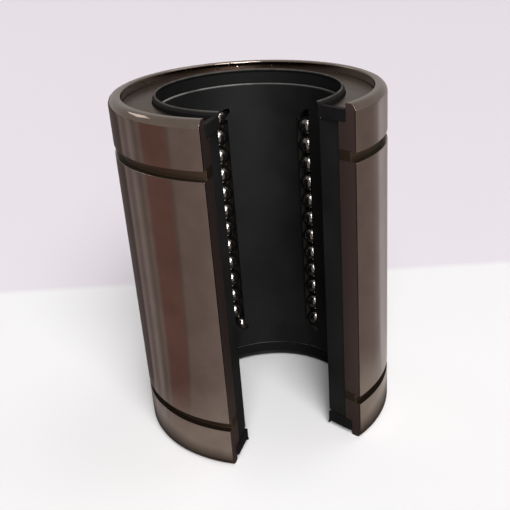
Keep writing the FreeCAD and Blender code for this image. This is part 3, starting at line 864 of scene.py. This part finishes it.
def toned_card(stage, side):
    """Paper painted in soft stripes round the object. Close to it they give way to one near tone, and
    right under the sleeve's edge to a dark one, which is painted shade for the reflections."""
    material, tree, place = new_material("Toned paper")
    faced = add_node(tree, "ShaderNodeMapping", {"Vector": place, "Rotation": (0.0, 0.0, -side)})
    axes = add_node(tree, "ShaderNodeSeparateXYZ", {"Vector": faced}).outputs
    front = add_node(tree, "ShaderNodeMath", {
        0: axes["Y"], 1: -1.0, 2: -POLE_FRONT}, operation="MULTIPLY_ADD")
    width = add_node(tree, "ShaderNodeMath", {0: axes["X"]}, operation="ABSOLUTE")
    beyond = add_node(tree, "ShaderNodeMath", {0: width, 1: POLE_SIDE}, operation="SUBTRACT")
    apart = add_node(tree, "ShaderNodeMath", {0: beyond, 1: 0.0}, operation="MAXIMUM")
    turned = add_node(tree, "ShaderNodeMath", {0: apart, 1: front}, operation="ARCTAN2")
    hand = add_node(tree, "ShaderNodeMath", {0: axes["X"]}, operation="SIGN")
    around = add_node(tree, "ShaderNodeMath", {0: turned, 1: hand}, operation="MULTIPLY")
    share = add_node(tree, "ShaderNodeMapRange", {
        "Value": around, "From Min": -math.pi, "From Max": math.pi})
    ramp = add_node(tree, "ShaderNodeValToRGB", {"Fac": share})
    stops = ramp.color_ramp.elements
    for degrees, _ in CARD_STRIPES[1:-1]:
        stops.new(degrees / 360 + 0.5)
    for stop, (_, stripe) in zip(stops, CARD_STRIPES):
        stop.color = getattr(stage, f"stripe_{stripe}")
    toward = side + NEAR_TURN
    middle = (NEAR_PLACE * math.sin(toward), -NEAR_PLACE * math.cos(toward), SLEEVE_LOW.z)
    shifted = add_node(tree, "ShaderNodeVectorMath", {0: place, 1: middle}, operation="SUBTRACT")
    radius = add_node(tree, "ShaderNodeVectorMath", {0: shifted}, operation="LENGTH")
    fade = add_node(tree, "ShaderNodeMapRange", {
        "Value": radius, "From Min": SLEEVE_HIGH.x, "From Max": stage.card_fade},
        interpolation_type="SMOOTHSTEP")
    tone = add_node(tree, "ShaderNodeMix", {
        "Factor": fade, "A": stage.near_tone, "B": ramp}, data_type="RGBA")
    # painted shade: right under the sleeve's edge the card goes to a dark tone
    clear = add_node(tree, "ShaderNodeMapRange", {
        "Value": from_axis(tree, place), "From Min": SLEEVE_HIGH.x + DARK_FROM,
        "From Max": SLEEVE_HIGH.x + DARK_TO})
    base = add_node(tree, "ShaderNodeMix", {
        "Factor": clear, "A": stage.edge_shade_tone, "B": tone}, data_type="RGBA")
    close_material(tree, Base_Color=base, **PAPER)
    return material


def flat_piece(name, corners, material):
    """One flat face on the stage."""
    mesh = bpy.data.meshes.new(name)
    mesh.from_pydata(corners, [], [tuple(range(len(corners)))])
    mesh.materials.append(material)
    piece = bpy.data.objects.new(name, mesh)
    bpy.context.scene.collection.objects.link(piece)
    return piece


def add_lamp(name, kind, place, power):
    """One lamp, aimed at the origin."""
    lamp = bpy.data.lights.new(name, kind)
    lamp.energy = power
    holder = bpy.data.objects.new(name, lamp)
    holder.location = place
    holder.rotation_euler = (-Vector(place)).to_track_quat("-Z", "Y").to_euler()
    bpy.context.scene.collection.objects.link(holder)
    return lamp


class BUSHING_OT_stage(bpy.types.Operator):
    """Lay the floor, set the light and the camera"""

    bl_idname = "bushing.stage"
    bl_label = "Set stage"

    def execute(self, context):
        scene, stage = context.scene, context.scene.bushing_stage
        scene.view_settings.view_transform = "Standard"
        self.floor(stage)
        self.card(stage)
        self.world(scene, stage)
        self.lamps(stage)
        self.camera(scene, stage)
        return {"FINISHED"}

    def floor(self, stage):
        """A wide floor under the lower end face."""
        reach, level = FLOOR_REACH, SLEEVE_LOW.z
        corners = [(x * reach, y * reach, level) for x, y in ((-1, -1), (1, -1), (1, 1), (-1, 1))]
        flat_piece("floor", corners, floor_paper(stage))

    def card(self, stage):
        """A toned card just above the floor, as a studio lays it to shape the reflections in polished
        metal. Only reflections show it."""
        reach, level = stage.card_reach, SLEEVE_LOW.z + CARD_LIFT
        turns = (math.radians(step) for step in range(0, 360, CARD_STEP))
        corners = [(reach * math.sin(a), -reach * math.cos(a), level) for a in turns]
        side = math.atan2(stage.camera_place[0], -stage.camera_place[1])
        card = flat_piece("card", corners, toned_card(stage, side))
        card.visible_camera = card.visible_diffuse = card.visible_shadow = False

    def world(self, scene, stage):
        """Pale all round; it sheds less light than it shows in mirrors and behind the floor."""
        scene.world = bpy.data.worlds.new("Pale room")
        scene.world.use_nodes = True
        tree = scene.world.node_tree
        tree.nodes.clear()
        path = add_node(tree, "ShaderNodeLightPath").outputs
        shed = add_node(tree, "ShaderNodeMapRange", {
            "Value": path["Is Glossy Ray"], "To Min": stage.room_light, "To Max": stage.room_shine})
        seen = add_node(tree, "ShaderNodeMath", {
            0: path["Is Camera Ray"], 1: path["Is Transmission Ray"]}, operation="MAXIMUM")
        brightness = add_node(tree, "ShaderNodeMapRange", {
            "Value": seen, "To Min": shed, "To Max": stage.room_view})
        light = add_node(tree, "ShaderNodeBackground", {"Color": stage.room, "Strength": brightness})
        add_node(tree, "ShaderNodeOutputWorld", {"Surface": light})

    def lamps(self, stage):
        """An even key as soft as a large window, a weak fill from the right, a small front lamp that
        reaches the balls, and two panes behind that light the rim."""
        add_lamp("key", "SUN", KEY_PLACE, stage.key_light).angle = KEY_SPREAD
        add_lamp("fill", "SUN", FILL_PLACE, stage.fill_light).angle = FILL_SPREAD
        add_lamp("front", "AREA", FRONT_PLACE, stage.front_light).size = FRONT_SIZE
        for number, place in enumerate(PANE_PLACES, start=1):
            add_lamp(f"pane_{number}", "AREA", place, stage.pane_light).size = PANE_SIZE

    def camera(self, scene, stage):
        """The photograph's camera."""
        lens = bpy.data.cameras.new("camera")
        lens.sensor_width = SENSOR
        lens.lens = stage.focal_pixels * SENSOR / PHOTO_SIDE
        lens.shift_x, lens.shift_y = stage.shift
        lens.clip_start, lens.clip_end = CLIP_NEAR, CLIP_FAR
        holder = bpy.data.objects.new("camera", lens)
        holder.location = stage.camera_place
        holder.rotation_euler = stage.camera_turn
        scene.collection.objects.link(holder)
        scene.camera = holder


OPERATORS = (BUSHING_OT_sleeve, BUSHING_OT_retainer, BUSHING_OT_seals, BUSHING_OT_plates,
             BUSHING_OT_balls, BUSHING_OT_stage)
GROUPS = {"bushing_sizes": BushingSizes, "bushing_colours": BushingColours, "bushing_stage": BushingStage}


class VIEW3D_PT_bushing(bpy.types.Panel):
    """Lists the pieces, sizes and colours"""

    bl_label = "Open ball bushing"
    bl_space_type = "VIEW_3D"
    bl_region_type = "UI"
    bl_category = "Bushing"

    def draw(self, context):
        for operator in OPERATORS:
            self.layout.operator(operator.bl_idname)
        for attribute in GROUPS:
            box = self.layout.box()
            group = getattr(context.scene, attribute)
            for name in group.__annotations__:
                box.prop(group, name)


CLASSES = (*GROUPS.values(), *OPERATORS, VIEW3D_PT_bushing)


def register():
    for cls in CLASSES:
        bpy.utils.register_class(cls)
    for attribute, group in GROUPS.items():
        setattr(bpy.types.Scene, attribute, bpy.props.PointerProperty(type=group))


def unregister():
    for attribute in GROUPS:
        delattr(bpy.types.Scene, attribute)
    for cls in reversed(CLASSES):
        bpy.utils.unregister_class(cls)


def main():
    """Register the add-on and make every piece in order."""
    register()
    bpy.ops.bushing.sleeve()
    bpy.ops.bushing.retainer()
    bpy.ops.bushing.seals()
    bpy.ops.bushing.plates()
    bpy.ops.bushing.balls()
    bpy.ops.bushing.stage()


if __name__ == "__main__":
    main()
